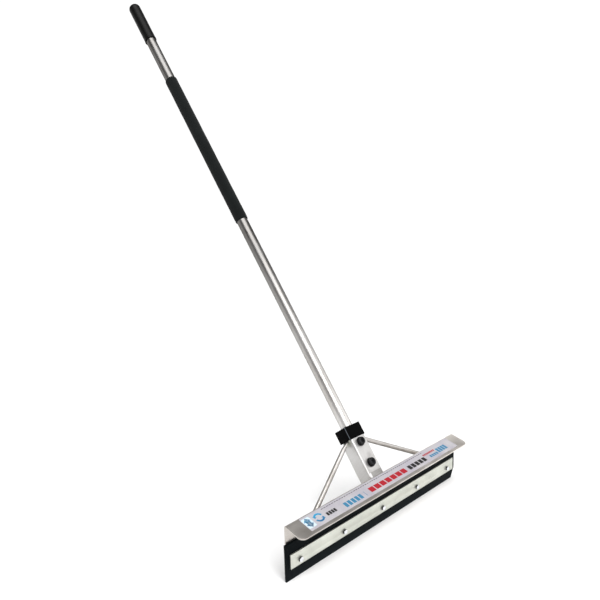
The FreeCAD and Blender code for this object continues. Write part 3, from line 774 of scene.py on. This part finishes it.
def bead_corner(points):
    """The corner of a bead's triangular end, then its two other points."""
    def across_from(index):
        others = [p for k, p in enumerate(points) if k != index]
        return (others[0] - others[1]).length
    corner = max(range(3), key=across_from)
    return points[corner], [p for k, p in enumerate(points) if k != corner]


def add_bead(mesh, solid, seed):
    """A rippled bead for a plain one: a row of overlapped, slightly uneven scales."""
    way = longest_way(solid)
    ordered = sorted(solid, key=lambda point: point.dot(way))
    start, legs = bead_corner(ordered[:3])
    end, _ = bead_corner(ordered[-3:])
    long_way = end - start
    length = long_way.length
    legs = [leg - start - long_way * ((leg - start).dot(long_way) / length ** 2) for leg in legs]
    scale_long = 2.4 * MM
    count = max(8, round(length / (scale_long / 5)))
    rings = []
    for step in range(count + 1):
        place = length * step / count
        scale, phase = divmod(place, scale_long)
        uneven = 1 + 0.1 * noise.noise(Vector((scale * 3.7, seed * 5.1, 0)))
        swell = (0.82 + 0.16 * math.sqrt(phase / scale_long)) * uneven
        end_gap = min(place, length - place) / (1.5 * MM)
        swell *= math.sqrt(min(1.0, 0.15 + end_gap))
        spot = start + long_way * (step / count)
        ring = [spot]
        for turn_step in range(9):
            turn = math.pi / 2 * turn_step / 8
            ring.append(spot + legs[0] * (swell * math.cos(turn))
                        + legs[1] * (swell * math.sin(turn)))
        rings.append(ring)
    add_rings(mesh, rings)


def make_welds(node, name):
    """Rippled beads in the place of a node's plain ones."""
    mesh = bmesh.new()
    for seed, solid in enumerate(solids_of(node)):
        add_bead(mesh, solid, seed)
    piece = add_piece(name, mesh, PAINTS["weld"], 50)
    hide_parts(node)


# ---- the label ---------------------------------------------------------------------------

class LabelSheet:
    """The label's top face: places are its distance along the head and back from its front."""

    def __init__(self):
        faces = NODES["label"].data.polygons
        top = max((face for face in faces if face.normal.z > 0.5), key=lambda face: face.area)
        self.up = top.normal.normalized()
        self.back = self.up.cross(Vector((1, 0, 0)))
        corners = points_of("label")
        self.front = min((p.dot(self.back) for p in corners))
        self.depth = max((p.dot(self.back) for p in corners)) - self.front
        self.face = max(p.dot(self.up) for p in corners)
        self.thick = self.face - min(p.dot(self.up) for p in corners)
        self.left = min(p.x for p in corners)
        self.right = max(p.x for p in corners)

    def at(self, lift):
        """A function that places a point of the sheet, lifted off its face."""
        def place(point):
            return (Vector((point[0], 0, 0)) + self.back * (self.front + point[1])
                    + self.up * (self.face + lift))
        return place


SHEET = LabelSheet()
INK_THICK = 0.06 * MM


def round_corners(left, right, low, high, radius, steps=6):
    """The outline of a rectangle with round corners."""
    outline = []
    centres = [(right - radius, high - radius), (left + radius, high - radius),
               (left + radius, low + radius), (right - radius, low + radius)]
    for quarter, (x, y) in enumerate(centres):
        for step in range(steps + 1):
            turn = math.pi / 2 * (quarter + step / steps)
            outline.append((x + radius * math.cos(turn), y + radius * math.sin(turn)))
    return outline


def add_mark(mesh, outline):
    """A printed mark: a thin closed shape on the film."""
    prism(mesh, outline, SHEET.at(0), SHEET.at(INK_THICK))


def add_block(mesh, left, right, low, high, radius=0.6 * MM):
    add_mark(mesh, round_corners(left, right, low, high, radius, 3))


def add_row(mesh, left, right, low, high, count, gap):
    """A row of equal blocks between two places."""
    wide = (right - left - gap * (count - 1)) / count
    for step in range(count):
        start = left + step * (wide + gap)
        add_block(mesh, start, start + wide, low, high)


def double_arrow(x, low, high, wide, head):
    """A double-headed arrow across the label."""
    stem = wide * 0.28
    return [(x, low), (x + wide / 2, low + head), (x + stem, low + head),
            (x + stem, high - head), (x + wide / 2, high - head), (x, high),
            (x - wide / 2, high - head), (x - stem, high - head),
            (x - stem, low + head), (x - wide / 2, low + head)]


def curved_arrow(x, y, radius, wide, start, sweep):
    """An arc with an arrowhead at its far end."""
    steps = 14
    stop = start + sweep
    outline = []
    for step in range(steps + 1):
        turn = start + sweep * step / steps
        outline.append((x + (radius + wide / 2) * math.cos(turn),
                        y + (radius + wide / 2) * math.sin(turn)))
    for reach, ahead in ((radius + wide * 1.1, 0), (radius, 0.5), (radius - wide * 1.1, 0)):
        outline.append((x + reach * math.cos(stop + ahead), y + reach * math.sin(stop + ahead)))
    for step in range(steps, -1, -1):
        turn = start + sweep * step / steps
        outline.append((x + (radius - wide / 2) * math.cos(turn),
                        y + (radius - wide / 2) * math.sin(turn)))
    return outline


def print_arrows(mesh, low, high, panel):
    """The double arrow on the panel, and two curved ones that chase each other beside it."""
    ring_x = SHEET.left + panel + 18 * MM
    for half in range(2):
        add_mark(mesh, curved_arrow(ring_x, SHEET.depth / 2, 10 * MM, 4.5 * MM,
                                    math.pi * half + 0.3, 2.2))
    middle_x = SHEET.left + panel / 2 + 0.5 * MM
    inset = 0.5 * MM
    add_mark(mesh, double_arrow(middle_x, low + inset, high - inset, 19 * MM, 10 * MM))


# The printed rows: ink, left and right ends and gap in millimetres from the label's left end,
# lower and upper edges as shares of its depth, and how many blocks.
LABEL_ROWS = (
    ("black", 60, 88, 0.3, 0.54, 4, 1.5),
    ("blue", 112, 168, 0.16, 0.52, 5, 3),
    ("red", 196, 328, 0.2, 0.56, 7, 3),
    ("black", 339, 408, 0.2, 0.54, 5, 3),
    ("blue", 426, 458, 0.22, 0.42, 4, 2),
    ("blue", 462, 500, 0.24, 0.64, 4, 2),
    ("red", 412, 458, 0.56, 0.7, 8, 1.5),
    ("black", 60, 418, 0.85, 0.885, 46, 2),
)


def make_label():
    """The film, and the plain coloured marks printed on it."""
    left = SHEET.left
    depth = SHEET.depth
    mesh = bmesh.new()
    outline = round_corners(left, SHEET.right, 0, depth, 2 * MM)
    prism(mesh, outline, SHEET.at(-SHEET.thick), SHEET.at(0))
    film = add_piece("label_sheet", mesh, PAINTS["film"])
    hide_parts("label")
    marks = {name: bmesh.new() for name in ("sky", "blue", "red", "black", "arrow")}
    low = depth * 0.16
    high = depth * 0.88
    panel = 22 * MM
    add_block(marks["sky"], left + 1 * MM, left + panel, low, high, 2 * MM)
    print_arrows(marks["arrow"], low, high, panel)
    for name, start, stop, lower, upper, count, gap in LABEL_ROWS:
        add_row(marks[name], left + start * MM, left + stop * MM, depth * lower, depth * upper,
                count, gap * MM)
    bar = left + 179 * MM
    add_block(marks["blue"], bar, bar + 1.2 * MM, low, depth * 0.52, 0.5 * MM)
    for name, layer in marks.items():
        add_piece(f"label_{name}", layer, PAINTS[name])


# ---- the stage ---------------------------------------------------------------------------

def make_floor():
    """A wide white floor just under the tool."""
    mesh = bmesh.new()
    bmesh.ops.create_grid(mesh, x_segments=8, y_segments=8, size=120)
    data = bpy.data.meshes.new("floor")
    mesh.to_mesh(data)
    mesh.free()
    floor = bpy.data.objects.new("floor", data)
    floor.location.z = cad_box[0][2] - 0.5 * MM
    data.materials.append(pale_floor("studio_floor"))
    bpy.context.scene.collection.objects.link(floor)


def make_light(name, place, target, size, power):
    """A round lamp at a place, turned to a target."""
    data = bpy.data.lights.new(name, "AREA")
    data.shape = "DISK"
    data.size = size
    data.energy = power
    lamp = bpy.data.objects.new(name, data)
    lamp.location = place
    lamp.rotation_euler = (Vector(target) - Vector(place)).to_track_quat("-Z", "Y").to_euler()
    bpy.context.scene.collection.objects.link(lamp)


def make_sun():
    """A very soft sun, so that the floor is as white far off as near."""
    data = bpy.data.lights.new("sun", "SUN")
    data.angle = math.radians(60)
    data.energy = 3.0
    lamp = bpy.data.objects.new("sun", data)
    lamp.rotation_euler = (math.radians(25), 0, math.radians(-30))
    bpy.context.scene.collection.objects.link(lamp)


def add_range(tree, value, low, high, to_low, to_high):
    """A value mapped from one range to another, for the world's strength."""
    node = tree.nodes.new("ShaderNodeMapRange")
    limits = {"From Min": low, "From Max": high, "To Min": to_low, "To Max": to_high}
    for name, limit in limits.items():
        node.inputs[name].default_value = limit
    tree.links.new(value, node.inputs["Value"])
    return node.outputs["Result"]


def make_world():
    """Pale light: white beyond the object, greyer on the near side and darker overhead."""
    beyond = (0.66, 0.70, 0.25)
    world = bpy.data.worlds.new("studio")
    world.use_nodes = True
    tree = world.node_tree
    way = tree.nodes.new("ShaderNodeTexCoord").outputs["Generated"]
    facing = tree.nodes.new("ShaderNodeVectorMath")
    facing.operation = "DOT_PRODUCT"
    facing.inputs[1].default_value = beyond
    tree.links.new(way, facing.inputs[0])
    height = tree.nodes.new("ShaderNodeSeparateXYZ")
    tree.links.new(way, height.inputs[0])
    strength = tree.nodes.new("ShaderNodeMath")
    strength.operation = "MULTIPLY"
    shade = add_range(tree, facing.outputs["Value"], -0.5, 0.35, 0.62, 1.05)
    overhead = add_range(tree, height.outputs["Z"], 0.29, 0.42, 1.0, 0.26)
    tree.links.new(shade, strength.inputs[0])
    tree.links.new(overhead, strength.inputs[1])
    background = tree.nodes["Background"]
    tree.links.new(strength.outputs[0], background.inputs["Strength"])
    background.inputs["Color"].default_value = (1, 1, 1, 1)
    bpy.context.scene.world = world


def make_camera():
    """The near-left view: low over the floor, turned a little about its own axis."""
    right = Vector((0.7262, -0.6867, -0.0324))
    up = Vector((0.1578, 0.1206, 0.9801))
    ahead = Vector((0.6691, 0.7169, -0.1959))
    place = Matrix((right, up, -ahead)).transposed().to_4x4()
    place.translation = (-0.9999, -0.8134, 0.79705)
    data = bpy.data.cameras.new("camera")
    data.sensor_width = 36
    data.lens = 35.54
    camera = bpy.data.objects.new("camera", data)
    camera.matrix_world = place
    bpy.context.scene.collection.objects.link(camera)
    bpy.context.scene.camera = camera


# ---- the whole scene ---------------------------------------------------------------------

def dress(node, paint):
    """Give a CAD node, as it is, its finished material."""
    data = NODES[node].data
    data.materials.clear()
    data.materials.append(PAINTS[paint])


def make_pieces():
    rounded_copy("scraper_plate", "folded_plate", PAINTS["plate"], 0.35 * MM)
    rounded_copy("clamp_strip", "clamp_bar", PAINTS["strip"], 0.4 * MM)
    rounded_copy("socket_bracket", "folded_bracket", PAINTS["bracket"], 0.3 * MM)
    rounded_copy("socket_collar", "collar_moulding", PAINTS["plastic"], 0.3 * MM)
    for side in ("left", "right"):
        rounded_copy(f"brace_{side}", f"brace_tube_{side}", PAINTS["brace"], 0, 55)
    dress("socket_sleeve", "strip")
    dress("handle_tube", "tube")
    dress("blade_washers", "zinc")
    dress("socket_front_washers", "black_steel")
    dress("socket_rear_washers", "black_steel")
    make_foam_grip()
    make_hand_grip()
    make_rubber_blade()
    make_blade_bolts()
    make_socket_bolts()
    make_welds("bracket_welds", "bracket_weld_beads")
    make_welds("brace_welds", "brace_weld_beads")
    make_label()


make_pieces()
make_floor()
make_world()
make_light("key", (-0.6, -1.9, 1.0), (0, 0.1, 0.2), 0.9, 16)
make_light("fill", (1.8, -1.2, 1.4), (0, 0.2, 0.4), 1.6, 10)
make_sun()
make_camera()
bpy.context.scene.view_settings.view_transform = "Standard"
